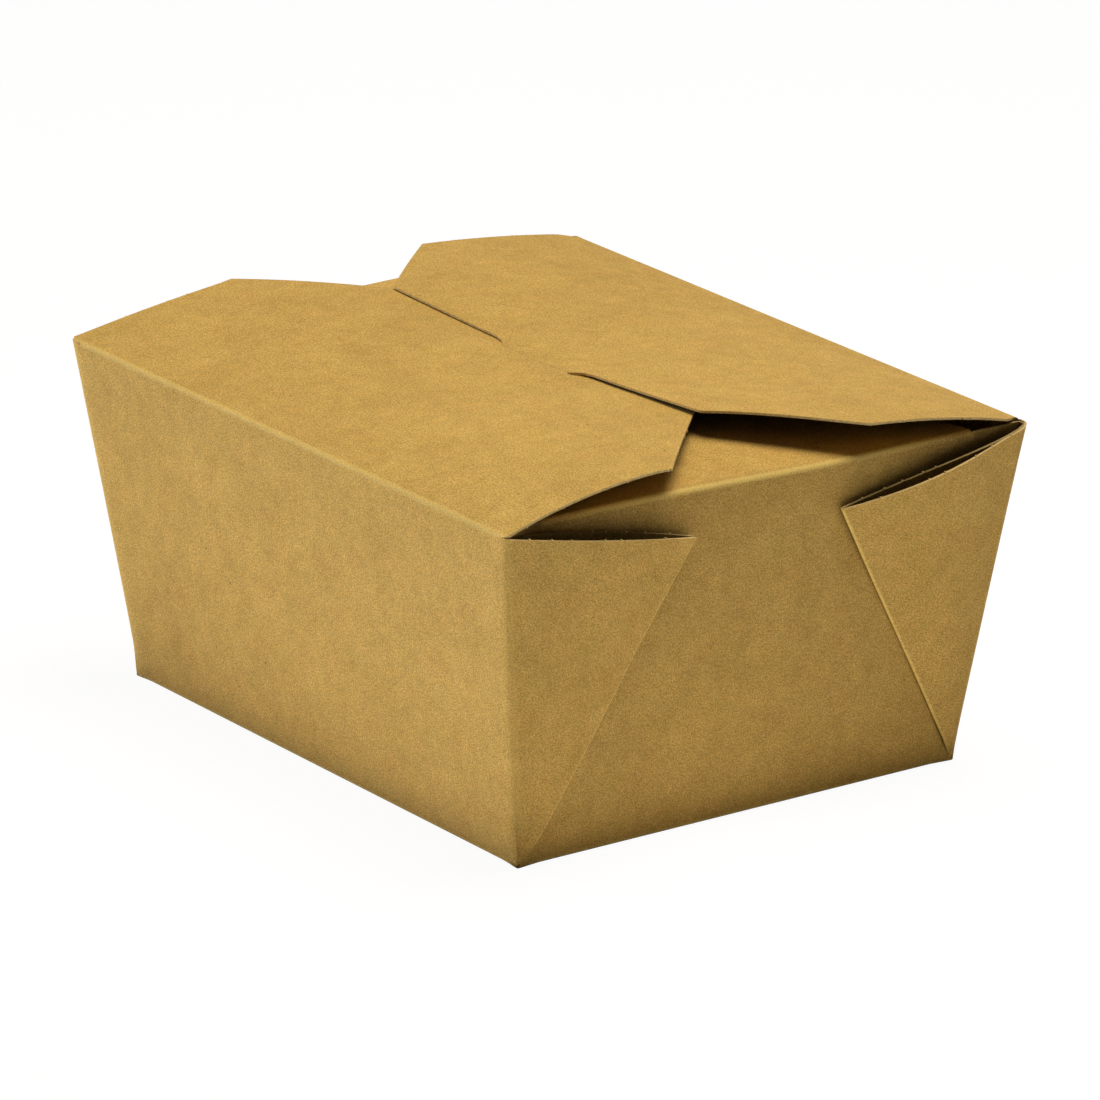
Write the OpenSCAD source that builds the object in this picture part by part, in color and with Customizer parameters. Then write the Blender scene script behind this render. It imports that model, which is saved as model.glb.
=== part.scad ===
// Folded kraft board takeaway box, closed, with web corners and a tongue lock.
// Length runs along X, the front long wall is at -Y and the box stands on Z = 0.
// Every panel is a bent sheet of one board thickness, given by its middle surface.

/* [Base and walls] */
// Length of the base
base_l = 113; // [95:1:135]
// Width of the base
base_w = 90; // [78:1:105]
// Height of the rim creases above the table
wall_h = 60.6; // [50:0.2:75]
// How far each end wall leans out between base and rim
end_lean = 7.75; // [4:0.25:11]
// How far each long wall leans out between base and rim
side_lean = 8.15; // [4:0.05:11]
// Thickness of the board
board = 0.4; // [0.3:0.02:0.5]
// How far the end walls are pressed in at the rim
end_dish = 4; // [2.5:0.25:5.5]
// Length over which an end wall curves out to its corner at the rim
dish_ramp = 9; // [6:0.5:14]

/* [Web corners] */
// How far the outer leaf of a front web bows out at its cut edge
front_outer_bow = 1.1; // [0.6:0.1:3.5]
// How far the inner leaf of a front web bows in at its cut edge
front_inner_bow = 2.4; // [0.8:0.1:3]
// How far the outer leaf of a back web bows out at its cut edge
back_outer_bow = 2.9; // [2:0.1:4]
// How far the inner leaf of a back web bows out with it
back_inner_bow = 0.8; // [0:0.1:1]
// How far the tips of the front webs are pressed in past the end wall's plane
tip_in = 0.6; // [0:0.1:1.5]
// How much lower the tips of the back webs sit along their fold
back_tip_drop = 1.2; // [0:0.1:2]

/* [End flaps] */
// Length of an end flap from its crease
end_flap_l = 40; // [30:1:44]
// Width of an end flap at its crease
end_flap_root = 86; // [70:1:88]
// Width of an end flap at its free edge
end_flap_tip = 58; // [44:1:66]

/* [Main flaps] */
// Length of the straight side of a main flap, from its crease to the slanting cut
flap_side = 33; // [26:0.5:38]
// Slope of the slanting cut, as width lost for each millimetre of length
flap_taper = 1; // [0.7:0.05:1.3]
// Overlap of the front flap under the back flap, past the middle of the box
front_overlap = 7; // [5:0.5:10]
// How far the free edge of the back flap stops behind the middle of the box
back_short = 0.3; // [0:0.1:1]
// How far the crease of the back flap stops short of each corner
root_relief = 3.75; // [2:0.25:6]
// Length over which the back flap widens from that crease
relief_l = 6; // [4:0.5:9]
// Rise of the closed flaps' arch above the rim, halfway along the box
rise_mid = 4.2; // [3:0.1:5.5]
// Rise of the arch at the two ends
rise_end = 5.8; // [4:0.05:7]
// How much higher the +X end rises than the average of both ends
rise_tilt = 0.45; // [-1:0.05:1]
// How far the lock pulls the flaps down along the middle of the box
settle = 0.9; // [0:0.05:1.5]
// How far the back flap springs up off the front flap at its +X end
corner_lift = 1.4; // [0:0.05:2]
// How far the back flap's -X corner is pressed down
corner_drop = 0.8; // [0:0.05:1.2]
// Air between panels that lie on each other
lap_gap = 0.3; // [0.2:0.05:0.5]

/* [Lock] */
// Width of the tongue where it goes through the slit
tongue_w = 17.4; // [12:0.2:24]
// How deep the tongue reaches below the front flap
tongue_l = 6; // [4:0.5:9]
// Radius of the curve between the free edge and the tongue's side
tongue_fillet = 5; // [3:0.5:7]
// Distance of the tongue's middle plane in front of the box's middle
tongue_y = 2.3; // [2:0.1:4]
// Radius of the tongue's bend
tongue_bend = 0.8; // [0.6:0.05:1.2]
// Side clearance of the tongue in the slit
slit_side_gap = 1.5; // [0.8:0.1:3]

/* [Hidden] */

kraft = "#c09a58";
arch_power = 2.4;
dish_power = 5;
outer_power = 1.5;
inner_power = 3;
settle_power = 4;
apex = 0.008; // a leaf starts at this share of its length, inside the crease at its point
pinch = 0.5; // the layers of a web lie in one below this share of its height
leaf_gap = 0.22; // air between the layers above it

base_z = board / 2;
rim_rise = wall_h - base_z;
half_base_l = base_l / 2;
half_base_w = base_w / 2;
half_rim_l = half_base_l + end_lean;
half_rim_w = half_base_w + side_lean;
end_slant = norm([end_lean, rim_rise]);
corner_l = norm([side_lean, end_slant]);

// Angles of a web in the end wall's plane, from the fall line, worked out from the flat blank:
// base corner, long wall, end wall and two equal leaves fill the full turn round the base corner.
web_start = -atan(side_lean / end_slant);
web_angle = 45 - (asin(end_lean / corner_l) + asin(side_lean / corner_l)) / 2;

back_flap_l = half_rim_w - back_short;
front_flap_l = half_rim_w + front_overlap;
hinge_gap = board / 2 + lap_gap;
lap = board + lap_gap;
slit_front = -tongue_y - board / 2 - lap_gap;
slit_back = -tongue_y + tongue_bend;

function steps(n) = [for (i = [0:n]) i / n];
function unit(v) = v / norm(v);
function ease(e) = e * e * (3 - 2 * e);
function clip(v) = min(1, max(0, v));
function belly(v) = 4 * v * (1 - v);

// Sheets: a grid of points on the middle surface becomes a closed plate.

function along(g, i, j) = g[min(i + 1, len(g) - 1)][j] - g[max(i - 1, 0)][j];
function across(g, i, j) = g[i][min(j + 1, len(g[0]) - 1)] - g[i][max(j - 1, 0)];
function normal_at(g, i, j) = unit(cross(along(g, i, j), across(g, i, j)));

module sheet(g) {
    rows = len(g);
    cols = len(g[0]);
    function at(side, i, j) = (side * rows + i) * cols + j;
    function quad(a, b, c, d) = [[a, b, c], [a, c, d]];
    function patch(side, i, j) = quad(
        at(side, i, j),
        at(side, i, j + 1),
        at(side, i + 1, j + 1),
        at(side, i + 1, j)
    );
    function flip(f) = [f[2], f[1], f[0]];
    points = [
        for (side = [0.5, -0.5], i = [0:rows - 1], j = [0:cols - 1])
            g[i][j] + side * board * normal_at(g, i, j)
    ];
    top = [for (i = [0:rows - 2], j = [0:cols - 2]) each patch(0, i, j)];
    under = [for (i = [0:rows - 2], j = [0:cols - 2], f = patch(1, i, j)) flip(f)];
    sides = [
        for (i = [0:rows - 2]) each concat(
            quad(at(0, i, 0), at(0, i + 1, 0), at(1, i + 1, 0), at(1, i, 0)),
            quad(at(1, i, cols - 1), at(1, i + 1, cols - 1), at(0, i + 1, cols - 1), at(0, i, cols - 1))
        )
    ];
    ends = [
        for (j = [0:cols - 2]) each concat(
            quad(at(1, 0, j), at(1, 0, j + 1), at(0, 0, j + 1), at(0, 0, j)),
            quad(at(0, rows - 1, j), at(0, rows - 1, j + 1), at(1, rows - 1, j + 1), at(1, rows - 1, j))
        )
    ];
    polyhedron(points = points, faces = concat(top, under, sides, ends), convexity = 6);
}

// The rounded outside of a fold between two points, thicker at b where layers part.
module crease(a, b, rb = board / 2) {
    hull() {
        translate(a) sphere(r = board / 2, $fn = 8);
        translate(b) sphere(r = rb, $fn = 8);
    }
}

// Closed main flaps: both follow one low arch over the box.

function rise_at(x) =
    rise_mid
    + (rise_end - rise_mid) * ease(clip(abs(x) / half_rim_l))
    + rise_tilt * x / half_rim_l;
function arch_z(x, depth) = let (m = clip(depth / half_rim_w))
    wall_h + rise_at(x) * (1 - pow(1 - m, arch_power)) - settle * pow(m, settle_power);
function lap_at(x, depth) = let (m = depth / half_rim_w, far = x / half_rim_l)
    lap * ease(clip((depth - flap_side) / (half_rim_w - flap_side)))
    + corner_lift * pow(max(0, far), 2) * pow(m, settle_power)
    - corner_drop * pow(min(0, far), 2) * belly(m);
function cut_half(depth) = half_rim_l - flap_taper * max(0, depth - flap_side);
function relieved_half(depth) = cut_half(depth) - root_relief * ease(clip(1 - depth / relief_l));

front_rows = concat(
    [for (s = steps(6)) s * flap_side],
    [for (i = [1:5]) flap_side + i / 5 * (front_flap_l - flap_side)]
);
back_rows = concat(
    [for (s = steps(3)) s * relief_l],
    [for (i = [1:4]) relief_l + i / 4 * (flap_side - relief_l)],
    [for (i = [1:4]) flap_side + i / 4 * (back_flap_l - flap_side)]
);

function front_row(depth) = [
    for (s = steps(10)) let (x = (2 * s - 1) * cut_half(depth))
        [x, depth - half_rim_w, arch_z(x, depth)]
];
function back_row(depth) = [
    for (s = steps(10)) let (x = (2 * s - 1) * relieved_half(depth))
        [x, half_rim_w - depth, arch_z(x, depth) + lap_at(x, depth)]
];

// End walls in their own plane: b across, s up the slope, d outwards from the plane.

function end_point(end, b, s, d) = [
    end * (half_base_l + (s * end_lean + d * rim_rise) / end_slant),
    b,
    base_z + (s * rim_rise - d * end_lean) / end_slant
];
function half_at(q) = half_base_w + side_lean * q;
function inset_share(a, q) = ease(clip(a / (dish_ramp * (0.1 + 0.9 * q))));
function wall_d(b, q) = let (e = inset_share(half_at(q) - abs(b), q))
    -2 * board * q * (1 - e) - end_dish * pow(q, dish_power) * e;

wall_rows = [0, 0.25, 0.45, 0.6, 0.72, 0.82, 0.9, 0.95, 1];
end_cols = concat(
    [for (s = steps(5)) s * dish_ramp],
    [for (i = [1:3]) dish_ramp + i / 3 * (half_rim_w - dish_ramp)]
);
function end_b(a, q) =
    a <= dish_ramp
        ? half_at(q) - a * (0.1 + 0.9 * q)
        : (half_at(q) - dish_ramp * (0.1 + 0.9 * q)) * (half_rim_w - a) / (half_rim_w - dish_ramp);
function end_row(end, q) = concat(
    [for (a = end_cols) let (b = -end_b(a, q)) end_point(end, b, q * end_slant, wall_d(b, q))],
    [
        for (i = [len(end_cols) - 2:-1:0]) let (b = end_b(end_cols[i], q))
            end_point(end, b, q * end_slant, wall_d(b, q))
    ]
);

module end_wall(end) {
    sheet([for (q = wall_rows) end_row(end, q)]);
    crease(end_point(end, -half_base_w, 0, 0), end_point(end, half_base_w, 0, 0));
}

// Webs: k runs from the corner edge to the diagonal fold, f from the base corner to the cut edge.

function leaf_r(side, k) =
    corner_l * cos(web_angle / 2) / cos(web_angle * (k - 0.5)) - (side > 0 ? back_tip_drop * k : 0);
function leaf_b(side, k, f) = side * (half_base_w - f * leaf_r(side, k) * sin(web_start + k * web_angle));
function leaf_s(side, k, f) = f * leaf_r(side, k) * cos(web_start + k * web_angle);
function leaf_tip(side) = side > 0 ? 0 : tip_in;
function outer_bow(side) = side > 0 ? back_outer_bow : front_outer_bow;
function inner_bow(side) = side > 0 ? -back_inner_bow : front_inner_bow;
function spread(f) = (board + leaf_gap) * clip(f / pinch);
function inner_free(side, k, f) =
    -f * (board * (1 - k) + (leaf_tip(side) + board / 2) * k)
    - inner_bow(side) * pow(f, inner_power) * belly(k);
function inner_d(side, k, f) = let (
    resting = wall_d(leaf_b(side, k, f), leaf_s(side, k, f) / end_slant) + spread(f)
) k == 0 ? inner_free(side, k, f) : max(inner_free(side, k, f), resting);
function outer_free(side, k, f) =
    -f * (leaf_tip(side) - board / 2) * k + outer_bow(side) * pow(f, outer_power) * belly(k);
function outer_d(side, k, f) =
    k == 0 || k == 1
        ? max(outer_free(side, k, f), k * (inner_d(side, k, f) + f * board))
        : max(outer_free(side, k, f), inner_d(side, k, f) + spread(f));
function leaf_grid(end, side, outer) = [
    for (f = concat([apex], [for (i = [1:5]) i / 5])) [
        for (k = steps(8)) end_point(
            end,
            leaf_b(side, k, f),
            leaf_s(side, k, f),
            outer ? outer_d(side, k, f) : inner_d(side, k, f)
        )
    ]
];

module web(end, side) {
    sheet(leaf_grid(end, side, true));
    sheet(leaf_grid(end, side, false));
    corner = end_point(end, side * half_base_w, 0, 0);
    crease(corner, end_point(end, side * half_rim_w, end_slant, 0));
    crease(corner, end_point(end, side * half_rim_w, end_slant, -1.5 * board), board);
    fold_d = (outer_d(side, 1, 1) + inner_d(side, 1, 1)) / 2;
    crease(corner, end_point(end, leaf_b(side, 1, 1), leaf_s(side, 1, 1), fold_d), board);
}

// End flaps: straight at the crease, bent under the arch of the main flaps at the free edge.

crease_x = end_point(1, 0, end_slant, -end_dish)[0];
crease_z = end_point(1, 0, end_slant, -end_dish)[2];

function under_z(x, y) = min(arch_z(x, half_rim_w - abs(y)), arch_z(x, half_rim_w)) - lap;
function end_flap_row(end, r) = [
    for (s = steps(8)) let (
        x = end * (crease_x - r * end_flap_l),
        y = (s - 0.5) * (end_flap_root + r * (end_flap_tip - end_flap_root))
    ) [x, y, crease_z + r * (under_z(x, y) - crease_z)]
];

module end_flap(end) {
    sheet([for (r = steps(6)) end_flap_row(end, r)]);
    crease(
        [end * crease_x, -end_flap_root / 2, crease_z],
        [end * crease_x, end_flap_root / 2, crease_z]
    );
}

// Long walls, base and front flap.

module long_wall(side, top) {
    q = (top - base_z) / rim_rise;
    y = side * half_base_w;
    sheet([
        for (p = [0, q]) [
            for (e = [-1, 1])
                [e * (half_base_l + end_lean * p), side * half_at(p), base_z + rim_rise * p]
        ]
    ]);
    crease([-half_base_l, y, base_z], [half_base_l, y, base_z]);
}

module base() {
    translate([0, 0, base_z]) cube([base_l, base_w, board], center = true);
}

module front_flap() {
    difference() {
        sheet([for (d = front_rows) front_row(d)]);
        translate([0, (slit_front + slit_back) / 2, arch_z(0, half_rim_w)])
            cube([tongue_w + 2 * slit_side_gap, slit_back - slit_front, 4], center = true);
    }
    crease([-half_rim_l, -half_rim_w, wall_h], [half_rim_l, -half_rim_w, wall_h]);
}

module carton() {
    color(kraft) {
        base();
        long_wall(-1, wall_h);
        long_wall(1, wall_h - hinge_gap);
        front_flap();
        for (end = [-1, 1]) {
            end_wall(end);
            end_flap(end);
            for (side = [-1, 1]) {
                web(end, side);
            }
        }
    }
}

// Back flap: the tongue bends down at the free edge, in line with the swing about its crease.

tongue_path = concat(
    [[back_short + tongue_bend - tongue_y, 0]],
    [for (a = [18:18:90]) [-tongue_y + tongue_bend * (1 - sin(a)), -tongue_bend * (1 - cos(a))]],
    [[-tongue_y, -lap - tongue_l / 2], [-tongue_y, -lap - tongue_l]]
);
tongue_half = cut_half(back_flap_l);
function tongue_row(p) = [
    for (s = steps(10)) let (x = (2 * s - 1) * tongue_half)
        [x, p[0], arch_z(x, back_flap_l) + lap_at(x, back_flap_l) + p[1]]
];

// Seen from above: what is cut away beside the tongue, rounded where it meets the free edge.
module beside_tongue() {
    r = tongue_fillet;
    root = tongue_w / 2 + r;
    polygon(concat(
        [[tongue_half + 1, back_short], [root, back_short]],
        [for (a = [15:15:60]) [root - r * sin(a), back_short - r * (1 - cos(a))]],
        [[tongue_w / 2, back_short - r], [tongue_w / 2, -r - tongue_y], [tongue_half + 1, -r - tongue_y]]
    ));
}

module back_flap() {
    color(kraft)
    difference() {
        union() {
            sheet(concat([for (d = back_rows) back_row(d)], [for (p = tongue_path) tongue_row(p)]));
            crease([-half_rim_l + root_relief, half_rim_w, wall_h], [half_rim_l - root_relief, half_rim_w, wall_h]);
        }
        for (turn = [0, 1]) {
            mirror([turn, 0, 0])
                translate([0, 0, wall_h - tongue_l])
                    linear_extrude(height = tongue_l + rise_end + 10) beside_tongue();
        }
    }
}

carton();
back_flap();
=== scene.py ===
import bpy
import numpy as np
from mathutils import Matrix


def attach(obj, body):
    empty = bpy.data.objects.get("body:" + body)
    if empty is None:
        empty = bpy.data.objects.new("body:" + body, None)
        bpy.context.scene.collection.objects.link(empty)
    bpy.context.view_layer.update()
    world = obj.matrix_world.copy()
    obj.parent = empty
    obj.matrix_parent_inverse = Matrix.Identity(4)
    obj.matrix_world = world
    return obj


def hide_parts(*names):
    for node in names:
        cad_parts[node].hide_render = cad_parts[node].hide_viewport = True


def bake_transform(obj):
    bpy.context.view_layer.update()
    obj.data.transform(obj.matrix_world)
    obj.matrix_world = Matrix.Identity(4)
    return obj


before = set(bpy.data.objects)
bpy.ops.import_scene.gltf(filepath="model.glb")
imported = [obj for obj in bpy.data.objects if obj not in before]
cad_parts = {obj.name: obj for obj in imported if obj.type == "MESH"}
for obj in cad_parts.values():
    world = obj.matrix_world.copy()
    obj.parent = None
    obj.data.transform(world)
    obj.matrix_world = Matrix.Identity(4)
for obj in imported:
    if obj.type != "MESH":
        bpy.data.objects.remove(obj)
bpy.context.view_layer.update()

# The box is one sheet of kraft board, folded up from a flat blank. It is drawn here as its middle surface
# in millimetres: +X towards the end in view, -Y the front long wall, Z up from the table. The sheet is then
# given its thickness, so every cut edge shows the board's core.
box = {
    "baseLength": 113.0, "baseWidth": 90.0, "rimHeight": 60.6, "board": 0.4, "grainApart": 60.0,
    "endLean": 7.75, "sideLean": 8.15,    # how far the walls lean out over their height
    "endDish": 4.0, "dishPower": 2.4,    # the end walls are pressed in at the rim
    "dishMore": 0.1, "dishLess": 0.55, "lessFrom": -30.0, "lessOver": 50.0,    # and less towards the back
    "rampFront": 9.2, "rampBack": 16.0, "rampLeast": 0.1,    # how far in from a side edge the dish is full
    "creaseDrop": 0.62,    # the end flaps' creases lie a board or two below the rim
    "cornerFold": 2.8, "foldGrows": 1.3, "cornerFoldBack": 0.7, "foldStart": 0.03,    # reach of each fold
    "baseFold": 0.7, "rimFold": 0.8, "endFold": 0.8,
    "cornerFade": 4.0,    # the base fold flattens over this length to a corner
    "rimInset": 0.5, "insetPower": 8,    # how the front rim and the base's end edges are drawn in
    "wornPower": 0.7,    # below 1 a fold's pale mark is broad
}
metresPerMm = 0.001
tolerance = 0.01
halfL = box["baseLength"] / 2
halfW = box["baseWidth"] / 2
tableZ = box["board"] / 2
rise = box["rimHeight"] - tableZ
slantEnd = np.hypot(box["endLean"], rise)
slantSide = np.hypot(box["sideLean"], rise)
cornerLength = np.hypot(box["sideLean"], slantEnd)
rimL = halfL + box["endLean"]
rimW = halfW + box["sideLean"]


def ease(t):    # smooth step from 0 to 1: three times t squared, less twice t cubed
    t = np.clip(t, 0, 1)
    return t * t * (3 - 2 * t)


def belly(t):    # parabola, 0 at both ends and 1 in the middle: four times t times 1 - t
    return 4 * t * (1 - t)


# The larger of two values, rounded off where they meet: half of their sum and of the root of the squares of
# their difference and the width, less 0.15 of the width.
def softMax(a, b, width):
    return 0.5 * (a + b + np.sqrt((a - b) ** 2 + width ** 2) - width * 0.3)


def stack(*parts):    # arrays of x, y and maybe z, broadcast together, as one array of points
    return np.stack(np.broadcast_arrays(*parts), axis=-1)


def bend(p0, p1, p2, count):    # a fold: the parabola from p0 to p2 that leaves both along the lines to p1
    t = np.linspace(0, 1, count).reshape((count,) + (1,) * p0.ndim)
    return (1 - t) ** 2 * p0 + 2 * t * (1 - t) * p1 + t ** 2 * p2


# Folds are drawn pale as wear, and the rim, hinge and end creases also as a painted highlight.
def foldMark(count):    # how pale a fold is drawn: half a sine wave, 1 along its crown, to a power that broadens it
    return np.sin(np.pi * np.linspace(0, 1, count)) ** box["wornPower"]


def across(a, b, count):    # evenly spaced points from each of a to each of b, as new columns
    return a + (b - a) * np.linspace(0, 1, count)[None, :, None]


# A patch is a grid of points with, for each, its place on the flat blank, how pale its crease is drawn
# (wear, and on some creases a painted highlight), and its painted light or shade, the share by which its
# colour is raised or lowered.
patchKeys = ("points", "blank", "crease", "paintedShading")


def patch(points, blank, crease, paintedShading=0.0):
    rows, cols = points.shape[:2]
    return {"points": points, "blank": np.zeros((rows, cols, 2)) + blank,
            "crease": np.zeros((rows, cols)) + crease, "paintedShading": np.zeros((rows, cols)) + paintedShading}


def joined(parts, axis=0):    # patches laid end to end, sharing a row or column
    out = {}
    for key in patchKeys:
        pieces = [parts[0][key]]
        for part in parts[1:]:
            pieces.append(np.take(part[key], range(1, part[key].shape[axis]), axis=axis))
        out[key] = np.concatenate(pieces, axis=axis)
    return out


def mergedSheet(patches, turned):    # one surface from patches: equal points become one, empty faces go
    found, faces, start = {key: [] for key in patchKeys}, [], 0
    for part, flip in zip(patches, turned):
        rows, cols = part["points"].shape[:2]
        index = np.arange(rows * cols).reshape(rows, cols) + start
        a, b, c, d = index[:-1, :-1], index[:-1, 1:], index[1:, 1:], index[1:, :-1]
        quads = np.stack([a, d, c, b] if flip else [a, b, c, d], axis=-1).reshape(-1, 4)
        if "hole" in part:
            quads = quads[~part["hole"].ravel()]
        faces += [quads[:, [0, 1, 2]], quads[:, [0, 2, 3]]]
        for key in patchKeys:
            found[key].append(part[key].reshape(rows * cols, -1))
        start += rows * cols
    found = {key: np.concatenate(found[key]) for key in patchKeys}
    near = np.round(found["points"], 3)    # points within a thousandth of a millimetre are the same
    _, first, inverse = np.unique(near, axis=0, return_index=True, return_inverse=True)
    faces = inverse.ravel()[np.concatenate(faces)]
    real = (faces[:, 0] != faces[:, 1]) & (faces[:, 1] != faces[:, 2]) & (faces[:, 2] != faces[:, 0])
    return {key: found[key][first] for key in patchKeys}, faces[real]


def sharpenCuts(mesh, rim, count):    # a cut edge stays sharp on both faces of the board
    ends = np.zeros(len(mesh.edges) * 2, dtype=np.int32)
    mesh.edges.foreach_get("vertices", ends)
    ends = np.sort(ends.reshape(-1, 2), axis=1).astype(np.int64)
    cuts = np.sort(rim, axis=1)
    cuts = np.concatenate([cuts, cuts + count])
    sharp = np.isin(ends[:, 0] * 2 * count + ends[:, 1], cuts[:, 0] * 2 * count + cuts[:, 1])
    mesh.attributes.new("sharp_edge", "BOOLEAN", "EDGE").data.foreach_set("value", sharp)


# The sheet gets its thickness: its middle surface is moved half the board each way along its normals, each
# the sum of the normals of the faces around its point, and a rim closes the open edges between both faces.
def sheetObject(name, patches, turned, materials):
    sheet, faces = mergedSheet(patches, turned)
    points = sheet["points"]
    count = len(points)
    p0, p1, p2 = (points[faces[:, i]] for i in range(3))
    faceNormal = np.cross(p1 - p0, p2 - p0)
    normal = np.zeros_like(points)
    for i in range(3):
        np.add.at(normal, faces[:, i], faceNormal)
    normal /= np.maximum(np.linalg.norm(normal, axis=1, keepdims=True), 1e-12)
    half = box["board"] / 2
    both = np.concatenate([points + half * normal, points - half * normal])

    edges = np.concatenate([faces[:, [0, 1]], faces[:, [1, 2]], faces[:, [2, 0]]])
    there = edges[:, 0] * count + edges[:, 1]
    back = edges[:, 1] * count + edges[:, 0]
    rim = edges[~np.isin(there, back)]
    rimQuads = np.stack([rim[:, 1], rim[:, 0], rim[:, 0] + count, rim[:, 1] + count], axis=-1)
    rimFaces = np.concatenate([rimQuads[:, [0, 1, 2]], rimQuads[:, [0, 2, 3]]])
    allFaces = np.concatenate([faces, faces[:, ::-1] + count, rimFaces])

    mesh = bpy.data.meshes.new(name)
    mesh.vertices.add(len(both))
    mesh.vertices.foreach_set("co", (both * metresPerMm).astype(np.float32).ravel())
    mesh.loops.add(allFaces.size)
    mesh.loops.foreach_set("vertex_index", allFaces.astype(np.int32).ravel())
    mesh.polygons.add(len(allFaces))
    mesh.polygons.foreach_set("loop_start", np.arange(len(allFaces), dtype=np.int32) * 3)
    onRim = np.arange(len(allFaces)) >= 2 * len(faces)    # the rim's faces show the core
    mesh.polygons.foreach_set("material_index", onRim.astype(np.int32))
    mesh.update(calc_edges=True)
    mesh.shade_smooth()
    sharpenCuts(mesh, rim, count)

    # the board's two faces show grain that lies this many millimetres apart
    inside = np.repeat([0.0, box["grainApart"]], count)
    place = np.column_stack([np.tile(sheet["blank"], (2, 1)), inside]).astype(np.float32)
    mesh.attributes.new("blank", "FLOAT_VECTOR", "POINT").data.foreach_set("vector", place.ravel())
    for key in ("crease", "paintedShading"):
        values = np.tile(sheet[key].ravel(), 2).astype(np.float32)
        mesh.attributes.new(key, "FLOAT", "POINT").data.foreach_set("value", values)

    piece = bpy.data.objects.new(name, mesh)
    bpy.context.scene.collection.objects.link(piece)
    for material in materials:
        mesh.materials.append(material)
    print(name, "folded:", len(allFaces), "triangles,", len(rim), "rim edges,",
          len(there) - len(np.unique(there)), "edges used twice")
    return piece


# Lengths and bends of the main flaps. The closed flaps follow a low arch, which the lock pulls down in the
# middle of the box.
flaps = {
    "side": 33.0, "taper": 1.0, "frontLength": rimW + 7.0, "backLength": rimW - 0.3, "sideCut": 0.15,
    "riseMid": 4.2, "riseEnd": 5.8, "riseTilt": 0.45, "settle": 0.9, "archPower": 2.4, "settlePower": 4,
    "lap": 0.69, "farPress": 0.17, "pressFade": 12.0, "cornerLift": 1.4, "cornerDrop": 0.8,
    "hingeHalf": 62.0, "reliefLength": 4.5,
    "slitFront": -2.8, "slitBack": -1.5, "slitHalf": 10.2,
    "lipRaise": 0.76, "lipHalf": 9.5, "lipFade": 9.0, "lipRun": 13.0,
    "neckDip": 0.3, "neckHalf": 8.0, "neckFade": 8.0, "neckRun": 5.0,
    "rack": 1.7, "rackOver": 22.0, "rackHalf": 12.0, "rackFade": 20.0,    # the slanting cuts sit askew
    "spring": 0.6, "springReach": 0.62, "springPower": 0.7,    # the near end is sprung, the far end flat
    "nicksFront": (4.0, 11.3, 19.9, 23.9, 32.1, 32.8, 44.6, 46.9), "nicksBack": (12.6, 13.5, 26.0),
    "tongueHalf": 8.7, "tongueY": 2.3, "tongueBend": 0.8, "tongueLength": 6.0, "tongueFillet": 5.0,
    "filletFall": 0.6, "tongueRows": (6, 9, 7),    # rows on its flat part, its bend and its drop
    "columns": 47, "tongueColumns": 15, "reliefRows": 8, "sideRows": 15, "cutRows": 15,
}


def archZ(x, depth):    # rim height, plus a rise that grows to both ends, times a steep start and flat top
    m = np.clip(depth / rimW, 0, 1)
    riseHere = (flaps["riseMid"] + (flaps["riseEnd"] - flaps["riseMid"]) * ease(np.abs(x) / rimL)
                + flaps["riseTilt"] * x / rimL)
    return (box["rimHeight"] + riseHere * (1 - (1 - m) ** flaps["archPower"])
            - flaps["settle"] * m ** flaps["settlePower"])


# How far the back flap rides above that arch: its lap on the front flap, which is less at the far end, plus
# the sprung near corner, less the pressed far corner and the dip at the tongue's neck.
def lapZ(x, depth):
    m = depth / rimW
    reach = ease((depth - flaps["side"]) / (rimW - flaps["side"]))
    neck = (ease(1 - (np.abs(x) - flaps["neckHalf"]) / flaps["neckFade"])
            * ease((depth - rimW + flaps["neckRun"]) / flaps["neckRun"]))
    lap = flaps["lap"] - flaps["farPress"] * ease((-x - flaps["neckHalf"]) / flaps["pressFade"])
    return (lap * reach + flaps["cornerLift"] * np.maximum(0, x / rimL) ** 2 * m ** flaps["settlePower"]
            - flaps["cornerDrop"] * np.minimum(0, x / rimL) ** 2 * belly(np.clip(m, 0, 1))
            - flaps["neckDip"] * neck)


# The lip in front of the slit, lifted until it hides the tongue's bend: a smooth step across times one along.
def lipZ(x, y):
    wide = ease(1 - (np.abs(x) - flaps["lipHalf"]) / flaps["lipFade"])
    along = ease(1 + (y - flaps["slitFront"]) / flaps["lipRun"]) * (y <= flaps["slitFront"] + tolerance)
    return flaps["lipRaise"] * wide * along


def cutHalf(depth):    # half width of a main flap: straight sides, then the slanting cut
    return rimL - flaps["taper"] * np.maximum(0, depth - flaps["side"])


# The small tabs that held the blank in its sheet, left on the cut edges as stubs: each is one quad from just
# inside the edge to its tip outside. Spots are given along the edge by the same measure as its points.
nick = {"halfWidth": 0.2, "tipHalf": 0.12, "root": -0.1, "tip": 0.22, "sample": 0.01}


def nicks(edge, inside, blank, where, spots):
    def at(line, t):    # the point of a line at the measure t, between its neighbours
        return np.stack([np.interp(t, where, line[:, i]) for i in range(line.shape[1])], axis=-1)

    made = []
    step = nick["sample"] * np.ptp(where)    # the edge's direction is taken over this much of it
    for spot in spots:
        along = at(edge, spot + step) - at(edge, spot - step)
        along /= np.linalg.norm(along)
        out = at(edge, spot) - at(inside, spot)
        out -= along * (out @ along)
        out /= np.linalg.norm(out)
        corners = [[at(edge, spot) + along * width * way + out * nick[reach] for way in (-1, 1)]
                   for width, reach in ((nick["halfWidth"], "root"), (nick["tipHalf"], "tip"))]
        made.append(patch(np.array(corners), at(blank, spot), 1.0))
    return made


# End walls. Their points are given in the wall's own plane: b across, s up the slope, d out of the plane.
def endPoint(end, b, s, d):
    return stack(end * (halfL + (s * box["endLean"] + d * rise) / slantEnd), b,
                 tableZ + (s * rise - d * box["endLean"]) / slantEnd)


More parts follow.
